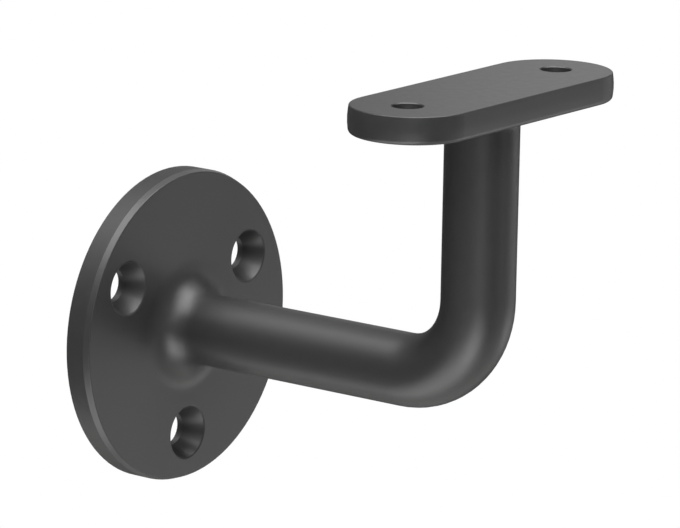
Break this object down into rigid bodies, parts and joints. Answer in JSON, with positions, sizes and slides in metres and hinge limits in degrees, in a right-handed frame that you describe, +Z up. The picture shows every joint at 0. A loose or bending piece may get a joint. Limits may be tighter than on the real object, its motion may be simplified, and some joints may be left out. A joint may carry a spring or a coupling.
{
  "type": "handrail bracket",
  "caption": "Wall bracket for a handrail: a round wall plate with countersunk screw holes, a round arm that turns up, and a flat round-ended saddle.",
  "frame": {"origin": "centre of the wall plate's back face, on the arm's axis", "axes": "+X out of the wall along the arm, +Y along the wall and the rail, +Z up along the upright"},
  "size_m": [0.0973, 0.0776, 0.099],
  "materials": {
    "powder_coat": "satin anthracite black powder coat on cast metal"
  },
  "bodies": {
    "root": {"bracket_casting": "powder_coat"}
  },
  "joints": []
}
